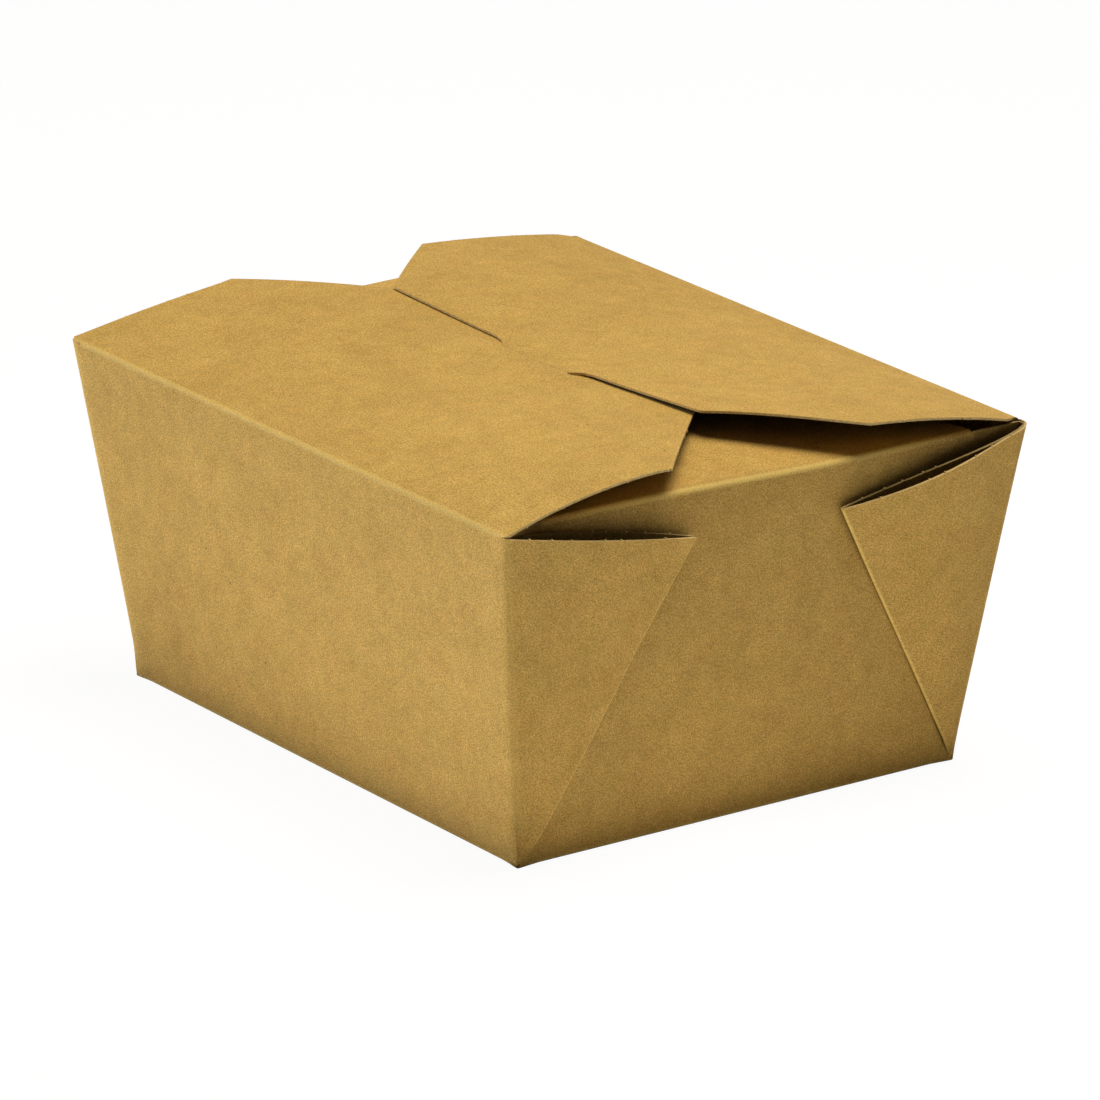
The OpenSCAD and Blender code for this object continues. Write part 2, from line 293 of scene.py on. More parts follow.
# Heights are shares of the walls' own height. The creases of the end flaps and of the front rim are the two
# rows just below 1.
heights = np.array([0, 0.012, 0.025, 0.04, 0.06, 0.08, 0.1, 0.14, 0.19, 0.25, 0.31, 0.37, 0.43, 0.49, 0.55,
                    0.61, 0.67, 0.73, 0.78, 0.82, 0.86, 0.89, 0.92, 0.95, 0.985, 0.989, 1.0])
endFoldRow = 24
rimFoldRow = 25
stripHeight = 0.987    # halfway up the strip of back wall that belongs to the locking flap
steps = {"base": 7, "corner": 8, "leaf": 27, "turn": 9, "rim": 9, "endCrease": 13}    # points across each

# Web corners: two leaves folded back on each other along a diagonal, so two layers lie outside the end wall.
web = {
    "gap": 0.47, "pinchHeight": 0.1, "hairpinInset": 0.68, "softGap": 0.35,    # the layers and their spacing
    "tipFront": 0.6, "tipBackDrop": 1.2, "turnBack": 0.0125,    # where the diagonal's tips lie
    "outerFront": 1.1, "outerBack": 2.84, "outerPower": 1.5,    # how far the leaves bow at their cut edges
    "innerFront": 2.4, "innerBack": -6.0, "innerPower": 3, "springRise": 0.5, "springFall": 2.2,
    "bendReach": 1.1, "bendMost": 0.4,    # how far the vertical corner's bend runs onto the outer leaf
    "foldSoft": 0.05,    # how softly the diagonal fold settles on the end wall
    "worn": 1.1, "cornerWorn": 0.12, "wornRise": 30,    # the diagonal fold is rubbed pale, from its foot on
    "paintedShading": 0.07, "paintedShadingRise": 10,    # painted light: the leaf beside it is drawn a little lighter
    "wallPaintedShade": -0.09, "wallPaintedShadeOver": 7.0,    # painted shade: the end wall beside it is drawn a little darker
    "edgePaintedShade": -0.4, "edgeFrom": 0.97, "edgeRise": 50,    # painted shade: cut edges behind an outer leaf are drawn dim
    "outerNicks": (0.106, 0.217, 0.317, 0.497, 0.587, 0.834),
    "innerNicks": (0.502, 0.57, 0.681, 0.776, 0.894),
}
webStart = -np.arctan2(box["sideLean"], slantEnd)
endAngle = np.arcsin(box["endLean"] / cornerLength)
sideAngle = np.arcsin(box["sideLean"] / cornerLength)
webAngle = np.pi / 4 - (endAngle + sideAngle) / 2    # walls and two leaves fill the turn about a base corner


def pinch(q):    # folds and gaps between layers shrink to nothing at the base corner
    return np.clip(q / web["pinchHeight"], 0, 1)


def cornerInset(q, side):    # where the long wall ends and its rounded corner begins, more towards the base
    reach = box["cornerFold"] + box["foldGrows"] * (1 - q) if side < 0 else box["cornerFoldBack"]
    return reach * np.clip(q / box["foldStart"], 0, 1)


def edgeB(q):    # where the end wall's side edge runs, inside the hairpin that joins it to the web
    return halfW + box["sideLean"] * q - web["hairpinInset"] * pinch(q)


def widening(q):    # the dish's ramps and the end flap's root spread out from almost nothing at the base
    return box["rampLeast"] + (1 - box["rampLeast"]) * q


def pressed(b, q):    # how fully a point of the end wall shares in the dish: 0 at the side edges, 1 inside
    ramp = np.where(b > 0, box["rampBack"], box["rampFront"])
    return ease((edgeB(q) - np.abs(b)) / (ramp * widening(q)))


def wallD(b, q):    # flat, but pushed in at the sides under two layers of web, and dished at the rim
    away = pressed(b, q)
    less = box["dishLess"] * ease((b - box["lessFrom"]) / box["lessOver"])
    depth = box["endDish"] * (1 + box["dishMore"] - less)
    return -2 * web["gap"] * pinch(q) * (1 - away) - depth * q ** box["dishPower"] * away


# A leaf's points: k runs from the vertical corner, 0, to the diagonal fold, 1, as a share of the web's angle
# about the base corner, and f from the base corner to the cut edge.
def leafRadius(side, k):    # from the base corner to the leaf's cut edge, which is straight on the blank
    drop = web["tipBackDrop"] if side > 0 else 0
    return cornerLength * np.cos(webAngle / 2) / np.cos(webAngle * (k - 0.5)) - drop * k


def leafPlace(side, k, f):    # b and s of a leaf's point: a fan about the base corner
    angle = webStart + k * (webAngle - (web["turnBack"] if side > 0 else 0))
    return side * (halfW - f * leafRadius(side, k) * np.sin(angle)), f * leafRadius(side, k) * np.cos(angle)


# d of the inner and the outer leaf: each is straight from corner to fold plus its bow, which grows towards
# the cut edge, and each is kept off the layer below it. The fold has one layer and a half of gaps below it.
# The back inner leaf is sprung near the corner instead.
def leafHeights(side, k, f):
    gap = web["gap"] * pinch(f)
    soft = web["softGap"] * belly(k) * pinch(f)
    bFold, sFold = leafPlace(side, np.ones_like(k), f)
    tip = 0.0 if side > 0 else web["tipFront"]
    foldD = softMax(-tip * f, wallD(bFold, sFold / slantEnd) + 1.5 * gap, web["foldSoft"])
    if side > 0:
        bow = web["innerBack"] * k ** web["springRise"] * (1 - k) ** web["springFall"]
    else:
        bow = web["innerFront"] * belly(k)
    b, s = leafPlace(side, k, f)
    innerFree = (foldD - gap / 2) * k - gap * (1 - k) - bow * f ** web["innerPower"]
    inner = softMax(innerFree, wallD(b, s / slantEnd) + gap, soft)
    outerBow = web["outerBack"] if side > 0 else web["outerFront"]
    outerFree = (foldD + gap / 2) * k + outerBow * f ** web["outerPower"] * belly(k)
    return inner, softMax(outerFree, inner + gap, soft)


def millimetre(f):    # a millimetre at the height f as a share of the web's angle, held in the pinched foot
    return 1 / np.maximum(f, web["pinchHeight"]) / cornerLength / webAngle


def wallEdge(end, side):    # the end wall's side edge, where the hairpin brings the sheet back under the web
    f = heights[:, None]
    b, s = leafPlace(side, web["hairpinInset"] * millimetre(f), f)
    return endPoint(end, b, s, -2 * web["gap"] * pinch(f))


def grown(q, steepness):    # 0 at the base corner, rising in a line to 1
    return np.clip(q * steepness, 0, 1)[:, None]


def edgeShade(q):    # the painted shade of cut edges behind an outer leaf: full at the top, none just below it
    return web["edgePaintedShade"] * np.clip((q - web["edgeFrom"]) * web["edgeRise"], 0, 1)[:, None]


# Half a circle from a to b as new columns: their middle, plus half their distance times the cosine, plus the
# radius outwards times the sine.
def halfTurn(a, b, radius, outward):
    turn = np.linspace(0, np.pi, steps["turn"])[None, :, None]
    return (a + b) / 2 + (a - b) / 2 * np.cos(turn) + radius * np.sin(turn) * outward


# One web as one patch: from the long wall round the vertical corner, along the outer leaf, round the
# diagonal fold, back along the inner leaf, and round the hairpin to the end wall.
def webPatch(end, side):
    f = heights[:, None]
    kCorner = np.minimum(web["bendReach"] * millimetre(f), web["bendMost"])
    kFold = web["gap"] / 4 * millimetre(f)
    kInner = web["hairpinInset"] * millimetre(f)

    def leaf(k, layer):    # a leaf's points: layer 0 is the inner one, 1 the outer one
        b, s = leafPlace(side, k, f)
        return endPoint(end, b, s, leafHeights(side, k, f)[layer])

    def onBlank(k, folded):    # turned about the base corner on the flat blank, from the long wall's edge on
        angle = endAngle + webAngle * (2 - k if folded else k)
        radius = f * leafRadius(side, k)
        return stack(end * (halfL + radius * np.sin(angle)), side * (halfW + radius * np.cos(angle)))

    outerK = kCorner + (1 - kCorner - kFold) * np.linspace(0, 1, steps["leaf"])
    innerK = (1 - kFold) + (kInner - (1 - kFold)) * np.linspace(0, 1, steps["leaf"])
    outerLeaf = leaf(outerK, 1)
    innerLeaf = leaf(innerK, 0)
    outerBlank = onBlank(outerK, False)
    innerBlank = onBlank(innerK, True)

    longX = end * (halfL + box["endLean"] * heights - cornerInset(heights, side))
    longEdge = stack(longX, side * (halfW + box["sideLean"] * heights), tableZ + rise * heights)
    corner = endPoint(end, side * (halfW + box["sideLean"] * heights), heights * slantEnd, 0)
    cornerBend = np.moveaxis(bend(longEdge, corner, outerLeaf[:, 0], steps["corner"]), 0, 1)
    longBlank = stack(longX, side * (halfW + slantSide * heights))[:, None, :]
    bendBlank = across(longBlank, outerBlank[:, :1], steps["corner"])

    diagonal = webStart + webAngle
    outward = endPoint(end, -side * np.cos(diagonal), -np.sin(diagonal), 0) - endPoint(end, 0, 0, 0)
    radius = (web["gap"] / 2 * pinch(heights))[:, None, None]
    foldTurn = halfTurn(outerLeaf[:, -1:], innerLeaf[:, :1], radius, outward)
    foldBlank = across(outerBlank[:, -1:], innerBlank[:, :1], steps["turn"])
    sideTurn = halfTurn(innerLeaf[:, -1:], wallEdge(end, side), radius, np.array([0, side, 0]))
    sideBlank = across(innerBlank[:, -1:], onBlank(kInner * 0, True), steps["turn"])

    worn = grown(heights, web["wornRise"]) * web["worn"]
    # painted light on the leaves beside the diagonal fold, and painted shade on the cut edges behind the
    # outer leaf
    paintedLighter = web["paintedShading"] * grown(heights, web["paintedShadingRise"])
    inShade = edgeShade(heights)
    whole = joined([
        patch(cornerBend, bendBlank, foldMark(steps["corner"])[None, :] * worn * web["cornerWorn"]),
        patch(outerLeaf, outerBlank, 0, paintedLighter * ease(outerK)),
        patch(foldTurn, foldBlank, foldMark(steps["turn"])[None, :] * worn, paintedLighter),
        patch(innerLeaf, innerBlank, 0, inShade),
        patch(sideTurn, sideBlank, 0, inShade),
    ], axis=1)
    stubs = nicks(outerLeaf[-1], outerLeaf[-2], outerBlank[-1], outerK[-1], web["outerNicks"])
    stubs += nicks(innerLeaf[-1, ::-1], innerLeaf[-2, ::-1], innerBlank[-1, ::-1], innerK[-1, ::-1],
                   web["innerNicks"])
    return whole, stubs


# An end flap's sizes, its painted light that draws it a little lighter than the wall, the fade of the
# painted highlight along its crease, and the columns and rows of the end.
endFlap = {
    "length": 40.0, "rootHalf": 43.0, "tipHalf": 29.0, "highlightFade": 16.0, "paintedShading": 0.08,
    "earColumns": 14, "midColumns": 26, "rows": 22, "rowPower": 1.15,    # rows lie closer near the crease
}


# The end flap's points: r is the share of its length. It narrows to its free edge in a straight line, rises
# in one from the crease to just under the arch of the main flaps, and straightens out from the crease's
# curve.
def endFlapPoints(end, r, y0):
    y = y0 * (1 - r * (1 - endFlap["tipHalf"] / endFlap["rootHalf"]))
    crease = endPoint(1, y0, slantEnd - box["creaseDrop"] * pressed(y0, 1.0), wallD(y0, 1.0))
    tipX = endPoint(1, 0, slantEnd, -box["endDish"])[0] - endFlap["length"]
    bowed = crease[..., 0] - tipX - endFlap["length"]
    x = end * (tipX + endFlap["length"] * (1 - r) + bowed * (1 - r) ** 2)
    under = np.minimum(archZ(x, rimW - np.abs(y)), archZ(x, rimW)) - flaps["lap"]
    return stack(x, y, crease[..., 2] + r * (under - crease[..., 2]))


# The end flap behind its rounded crease, which starts at the end wall's top row.
def endFlapPatch(end, wallRow, y):
    first = box["endFold"] / endFlap["length"]
    even = np.linspace(0, 1, endFlap["rows"])[:, None]
    share = first + (1 - first) * even ** endFlap["rowPower"]
    flap = endFlapPoints(end, share, y)
    flapBlank = stack(end * (halfL + slantEnd + share * endFlap["length"]), flap[..., 1])
    creaseLine = endFlapPoints(end, np.zeros_like(y), y)
    creaseBend = bend(wallRow, creaseLine, flap[0], steps["endCrease"])
    slope = heights[endFoldRow] * slantEnd
    run = (slantEnd - slope + box["endFold"]) * np.linspace(0, 1, steps["endCrease"])[:, None]
    bendBlank = stack(end * (halfL + slope + run), y)
    # painted highlight along the end crease, with wear, faded towards its ends where it lies in shade
    worn = foldMark(steps["endCrease"])[:, None] ** 2
    worn = worn * ease((endFlap["rootHalf"] - np.abs(y)) / endFlap["highlightFade"])
    return joined([patch(creaseBend, bendBlank, worn), patch(flap, flapBlank, 0, endFlap["paintedShading"])])


# The end wall with its base fold, the free ears of its top edge, and the end flap between them. Its columns
# spread from side edge to side edge, and its foot is lifted by the base fold.
def endStrip(end):
    ears = endFlap["earColumns"]
    q = heights[:, None]
    atCrease = edgeB(heights[endFoldRow]) - endFlap["rootHalf"]
    root = edgeB(q) - atCrease * widening(q) / widening(heights[endFoldRow])
    outer = edgeB(q) + (root - edgeB(q)) * np.linspace(0, 1, ears + 1)
    inner = root * np.linspace(1, -1, endFlap["midColumns"] + 1)
    b = np.concatenate([outer, inner[:, 1:-1], -outer[:, ::-1]], axis=1)
    lift = box["baseFold"] * ease((halfW - np.abs(b[0])) / box["cornerFade"])
    q = q + (1 - q) * lift / slantEnd
    wall = endPoint(end, b, q * slantEnd - box["creaseDrop"] * q ** 2 * pressed(b, q), wallD(b, q))
    for side, column in ((1, 0), (-1, -1)):    # the side edges are the web's own last column
        wall[:, column] = wallEdge(end, side)[:, 0]
    wallBlank = stack(end * (halfL + q * slantEnd), b)

    baseRow = stack(end * (halfL - lift), b[0], tableZ)
    baseBend = bend(baseRow, stack(end * halfL, b[0], tableZ), wall[0], steps["base"])
    run = np.linspace(0, 1, steps["base"])[:, None]
    baseBlank = stack(end * (halfL - lift + 2 * lift * run), b[0])
    baseWorn = foldMark(steps["base"])[:, None] * np.clip(lift / box["baseFold"], 0, 1)

    # painted shade: the wall is drawn a little darker beside each web's diagonal, fading with the distance
    # from it
    diagonal = webStart + webAngle
    off = (halfW - np.abs(b)) * np.cos(diagonal) - q * slantEnd * np.sin(diagonal)
    shade = web["wallPaintedShade"] * np.exp(-np.maximum(off, 0) / web["wallPaintedShadeOver"])
    shade = shade * grown(heights, web["paintedShadingRise"])
    # the free ears' top edges take the painted shade of edges behind a leaf
    shade = np.where(np.abs(b) > root + tolerance, np.minimum(shade, edgeShade(heights)), shade)
    body = joined([patch(baseBend, baseBlank, baseWorn), patch(wall, wallBlank, 0, shade)])
    keep = steps["base"] + endFoldRow    # rows up to the crease
    wallPart = {key: body[key][:keep] for key in body}
    earHigh = {key: body[key][keep - 1:, :ears + 1] for key in body}
    earLow = {key: body[key][keep - 1:, -ears - 1:] for key in body}

    top = endFlapPatch(end, wall[endFoldRow, ears:-ears], b[endFoldRow, ears:-ears])
    return [wallPart, earHigh, earLow, top]


def spreadColumns(u, width, uFixed, xFixed):    # inner columns keep their x, outer ones share the rest
    outerX = xFixed + (np.abs(u) - uFixed) / (1 - uFixed) * (width - xFixed)
    return np.where(np.abs(u) <= uFixed + 1e-9, u / uFixed * xFixed, np.sign(u) * outerX)


def longWall(u, side, rows):    # a leaning wall between its rounded corners, lifted at its foot by the fold
    q = heights[rows][:, None]
    x = u * (halfL + box["endLean"] * q - cornerInset(q, side))
    lift = box["baseFold"] * ease((halfL - np.abs(u * halfL)) / box["cornerFade"])
    q = np.where(np.abs(u) > 1 - 1e-9, q, q + (1 - q) * lift / slantSide)
    points = stack(x, side * (halfW + box["sideLean"] * q), tableZ + rise * q)
    return points, stack(x, side * (halfW + slantSide * q)), lift


def longBaseBend(u, side, foot, lift):    # the fold from a long wall's foot onto the base
    onBase = stack(u * halfL, side * (halfW - lift), tableZ)[0]
    points = bend(foot, stack(u * halfL, side * halfW, tableZ)[0], onBase, steps["base"])
    run = np.linspace(0, 1, steps["base"])[:, None]
    worn = foldMark(steps["base"])[:, None] * np.clip(lift / box["baseFold"], 0, 1)
    return patch(points, stack(u * halfL, side * (halfW + lift - 2 * lift * run)), worn), onBase


# Columns and rows of the long strip, and how pale its creases are drawn, as wear and painted highlight.
strip = {
    "columns": 53, "creaseWearAndHighlight": 0.6, "tuckedRows": 6, "cutRows": 15, "sideRows": 14,
    "creaseRows": (6.0, 4.6, 3.4, 2.4, 1.6, box["rimFold"]),    # depths of the front flap's last rows
    "baseRows": (0, 0.015, 0.04, 0.08, 0.14, 0.22, 0.32, 0.42, 0.5, 0.58, 0.68, 0.78, 0.86, 0.92, 0.96,
                 0.985, 1),    # shares of the base's width
}


# The front flap from its hidden free edge to the rim fold: the arch and the lip, plus a sprung near end, and
# its cut ends moved askew.
def frontFlap(u, uSlit):
    tucked = np.linspace(flaps["frontLength"], rimW + flaps["slitBack"], strip["tuckedRows"] + 1)
    cut = np.linspace(rimW + flaps["slitFront"], flaps["side"], strip["cutRows"])
    straight = np.linspace(flaps["side"], strip["creaseRows"][0], strip["sideRows"])
    depths = np.concatenate([tucked, cut, straight[1:], strip["creaseRows"][1:]])[:, None]
    x = spreadColumns(u, cutHalf(depths) - flaps["sideCut"], uSlit, flaps["slitHalf"])
    y = depths - rimW
    sprung = belly(np.clip(depths / rimW / flaps["springReach"], 0, 1)) ** flaps["springPower"]
    lifted = flaps["spring"] * x / rimL * sprung
    racked = (flaps["rack"] * np.clip((depths - flaps["side"]) / flaps["rackOver"], 0, 1)
              * ease((np.abs(x) - flaps["rackHalf"]) / flaps["rackFade"]))
    points = stack(x - racked, y, archZ(x, depths) + lipZ(x, y) + lifted)
    blank = stack(x, -(halfW + slantSide + depths))
    stubs = []
    for column, inward, spots in ((-1, -2, flaps["nicksFront"]), (0, 1, flaps["nicksFront"][1:4])):
        stubs += nicks(points[::-1, column], points[::-1, inward], blank[::-1, column], depths[::-1, 0],
                       spots)
    return patch(points, blank, 0), stubs


# The long strip: front flap, front wall, base, and back wall up to the hinge crease, with the ears beside it.
# u runs from -1 to 1 along the box, with columns at the ends of the slit and of the hinge crease.
def longStrip():
    uSlit = round(flaps["slitHalf"] / (rimL - box["cornerFold"]), 6)
    atHinge = halfL + box["endLean"] * heights[endFoldRow] - box["cornerFoldBack"]
    uHinge = round(flaps["hingeHalf"] / atHinge, 6)
    u = np.concatenate([np.linspace(-1, 1, strip["columns"]), [-uSlit, uSlit, -uHinge, uHinge]])
    u = np.unique(np.round(u, 6))[None, :]

    flap, stubs = frontFlap(u, uSlit)
    frontPoints, frontBlank, lift = longWall(u, -1, np.arange(rimFoldRow, -1, -1))
    rimCorner = stack(u * (rimL - box["rimInset"]), -rimW, box["rimHeight"])[0]
    rimBend = bend(flap["points"][-1], rimCorner, frontPoints[0], steps["rim"])
    share = np.linspace(0, 1, steps["rim"])[:, None, None]
    rimBlank = flap["blank"][-1] + (frontBlank[0] - flap["blank"][-1]) * share
    # the rim crease is drawn pale, as wear and painted highlight
    rimWearAndHighlight = strip["creaseWearAndHighlight"] * foldMark(steps["rim"])[:, None]
    frontBend, frontRow = longBaseBend(u, -1, frontPoints[-1], lift)
    backPoints, backBlank, lift = longWall(u, 1, np.arange(0, endFoldRow + 1))
    backBend, backRow = longBaseBend(u, 1, backPoints[0], lift)

    t = np.array(strip["baseRows"])[:, None]
    y = frontRow[:, 1] + (backRow[:, 1] - frontRow[:, 1]) * t
    inset = box["baseFold"] * ease((halfW - np.abs(y)) / box["cornerFade"])
    basePoints = stack(u * (halfL - inset * np.abs(u) ** box["insetPower"]), y, tableZ)
    whole = joined([flap, patch(rimBend, rimBlank, rimWearAndHighlight),
                    patch(frontPoints, frontBlank, 0), frontBend, patch(basePoints, basePoints[..., :2], 0),
                    {key: value[::-1] for key, value in backBend.items()},
                    patch(backPoints, backBlank, 0)])
    rows, cols = whole["points"].shape[:2]
    whole["hole"] = np.zeros((rows - 1, cols - 1), dtype=bool)
    whole["hole"][strip["tuckedRows"]] = np.abs((u[0, :-1] + u[0, 1:]) / 2) < uSlit    # the slit

    # free corners of the back wall's top edge, beside the hinge crease
    earPoints, earBlank, _ = longWall(u, 1, np.arange(endFoldRow, len(heights)))
    outer = u[0] >= uHinge - 1e-9
    ears = [patch(earPoints[:, which], earBlank[:, which], 0) for which in (outer, outer[::-1])]
    return [whole] + ears + stubs


# The tongue: carried on from the middle of the free edge, over a quarter circle and down through the slit.
# Its sides are quarter circles from the free edge, then straight.
def tonguePatch(u, neck):
    bendR, fillet = flaps["tongueBend"], flaps["tongueFillet"]
    flatRows, bendRows, dropRows = flaps["tongueRows"]
    flat = np.linspace(0, rimW - flaps["backLength"] - (bendR - flaps["tongueY"]), flatRows)
    angles = np.linspace(0, np.pi / 2, bendRows)[1:]
    drop = np.linspace(0, flaps["tongueLength"] - bendR, dropRows)[1:]
    run = np.concatenate([flat, flat[-1] + bendR * np.sin(angles), np.full(len(drop), flat[-1] + bendR)])
    fall = np.concatenate([np.zeros(len(flat)), bendR * (1 - np.cos(angles)), bendR + drop])
    travel = np.concatenate([flat, flat[-1] + bendR * angles, flat[-1] + bendR * np.pi / 2 + drop])
    left = fillet - np.minimum(run + fall * flaps["filletFall"], fillet)
    half = neck - np.sqrt(np.maximum(0, fillet ** 2 - left ** 2))
    half[0] = neck
    x = u[None, :] * half[:, None]
    edgeZ = archZ(x, flaps["backLength"]) + lapZ(x, flaps["backLength"])
    y = (rimW - flaps["backLength"] - run)[:, None]
    onBlank = (halfW + slantSide + flaps["backLength"] + travel)[:, None]
    return patch(stack(x, y, edgeZ - fall[:, None]), stack(x, onBlank), 0)


# Locking flap: the last of the back wall, the hinge crease, the flap and its tongue. Beside the crease it is
# cut back to the crease's length, and widens from there.
def lockingFlap():
    neck = flaps["tongueHalf"] + flaps["tongueFillet"]
    hinge = flaps["hingeHalf"]
    uTongue = neck / hinge
    u = np.concatenate([np.linspace(-1, 1, flaps["columns"]),
                        np.linspace(-uTongue, uTongue, flaps["tongueColumns"])])
    u = np.unique(np.round(u, 6))[None, :]
    uTongue = round(uTongue, 6)

    q = np.array([heights[endFoldRow], stripHeight, heights[rimFoldRow]])[:, None]
    wallPoints = stack(u * hinge, halfW + box["sideLean"] * q, tableZ + rise * q)
    wallBlank = stack(u * hinge, halfW + slantSide * q)

    relief = flaps["reliefLength"]
    widened = np.linspace(box["rimFold"], relief, flaps["reliefRows"])
    straight = np.linspace(relief, flaps["side"], flaps["sideRows"])
    cut = np.linspace(flaps["side"], flaps["backLength"], flaps["cutRows"])
    depths = np.concatenate([widened, straight[1:], cut[1:]])[:, None]
    width = cutHalf(depths) - (rimL - hinge) * ease(1 - depths / relief)
    x = spreadColumns(u, width, uTongue, neck)
    points = stack(x, rimW - depths, archZ(x, depths) + lapZ(x, depths))
    blank = stack(x, halfW + slantSide + depths)
    stubs = []
    for column, inward in ((-1, -2), (0, 1)):
        stubs += nicks(points[:, column], points[:, inward], blank[:, column], depths[:, 0],
                       flaps["nicksBack"])

    crease = stack(u * hinge, rimW, box["rimHeight"])[0]
    hingeBend = bend(wallPoints[-1], crease, points[0], steps["rim"])
    share = np.linspace(0, 1, steps["rim"])[:, None, None]
    bendBlank = wallBlank[-1] + (blank[0] - wallBlank[-1]) * share
    # the hinge crease is drawn pale, as wear and painted highlight
    worn = strip["creaseWearAndHighlight"] * foldMark(steps["rim"])[:, None]
    main = joined([patch(wallPoints, wallBlank, 0), patch(hingeBend, bendBlank, worn),
                   patch(points, blank, 0)])
    inner = np.abs(u[0]) <= uTongue + 1e-9
    return [main, tonguePatch(u[0][inner] / uTongue, neck)] + stubs


def toLinear(hexColour):    # sRGB hex to linear colour
    values = np.array([int(hexColour[i:i + 2], 16) / 255 for i in (1, 3, 5)])
    linear = np.where(values <= 0.04045, values / 12.92, ((values + 0.055) / 1.055) ** 2.4)
    return (*linear, 1.0)


def node(tree, kind, settings=None, links=None, out=0):    # adds a node, and gives its output to link on
    made = tree.nodes.new("ShaderNode" + kind)
    for key, value in (settings or {}).items():
        if isinstance(key, int) or key in made.inputs:
            made.inputs[key].default_value = value
        else:
            setattr(made, key, value)
    for key, source in (links or {}).items():
        tree.links.new(source, made.inputs[key])
    return made.outputs[out] if made.outputs else None


def emptyMaterial(name):    # a material without nodes, and the tree that they go into
    material = bpy.data.materials.new(name)
    material.use_nodes = True
    material.node_tree.nodes.clear()
    return material, material.node_tree


# Uncoated kraft board off a paper machine: a warm brown with soft clouds where the pulp lay thicker, short
# fibres that mostly run the way the web ran, a few dark bark specks, and a matt, slightly felted face.
kraft = {
    # crease is the pale of worn folds, and along the rim, hinge and end creases also a painted highlight
    "face": "#cfa95b", "warm": "#cf9e53", "olive": "#c3a451", "speck": "#5a3b1a", "crease": "#fadb80",
    "core": "#e0c68c", "coreDark": "#c9aa6c", "roughness": 0.7, "specular": 0.12,
    "coreRoughness": 0.95, "coreSpecular": 0.1,
    "torn": 0.5, "tornDetail": 3.0, "tornBand": (0.35, 0.65),    # tears in the cut edge: their size in mm
    "speckSpacing": 7.0, "speckSize": (0.018, 0.03), "speckShare": 0.8,    # the size as a share of spacing
    "deepen": (1.0, 1.15, 1.4),    # powers of the level for red, green and blue: dark grains turn redder
    "hueShare": 0.3, "hueBand": (0.45, 0.75),    # where the noise turns the colour, and how far
    "rubBand": (0.3, 0.6), "rubLeast": 0.5,    # creases are drawn pale, as wear and painted highlight, on the high grain first
    "relief": 0.15, "coreRelief": 0.3, "reliefDepth": 0.0001,
    "deepReach": 0.01, "deepPower": 3.2, "deepLeast": 0.05,    # how dark the painted shade gets between folds and layers
    "spread": (1.0, 0.7, 1.3),    # a grain's shift along each axis, so that no two grains match
    # each grain's size in mm, its stretch along the web, noise detail and roughness, shift, and contrast
    "grains": {"cloud": (10.0, 1.0, 3, 0.5, 11, 0.12), "blotch": (2.6, 1.0, 3, 0.5, 53, 0.16),
               "felt": (0.28, 1.0, 4, 0.65, 3, 1.15), "fibre": (0.35, 0.8 / 0.35, 2, 0.5, 5, 0.22),
               "warm": (6.0, 1.0, 3, 0.5, 37, 0), "olive": (5.0, 1.0, 3, 0.5, 91, 0)},
}


# Painted shade: deep between folds and layers the colour is darkened. It is scaled by 1, less 0.95 times
# the closed share of its surroundings to the power 3.2, and by 1 plus the painted light or shade that the
# patches give.
def shaded(tree, colour):
    occlusion = {"samples": 4, "Distance": kraft["deepReach"]}
    openness = node(tree, "AmbientOcclusion", occlusion, out="AO")
    shut = node(tree, "Math", {"operation": "SUBTRACT", 0: 1.0}, {1: openness})
    shut = node(tree, "Math", {"operation": "POWER", 1: kraft["deepPower"]}, {0: shut})
    level = node(tree, "MapRange", {"To Min": 1, "To Max": kraft["deepLeast"]}, {"Value": shut})
    # the painted light and shade that the patches carry
    paintedShading = node(tree, "Attribute", {"attribute_name": "paintedShading"}, out="Fac")
    paintedScale = node(tree, "Math", {"operation": "ADD", 1: 1.0}, {0: paintedShading})
    level = node(tree, "Math", {"operation": "MULTIPLY"}, {0: level, 1: paintedScale})
    return node(tree, "VectorMath", {"operation": "SCALE"}, {0: colour, "Scale": level})


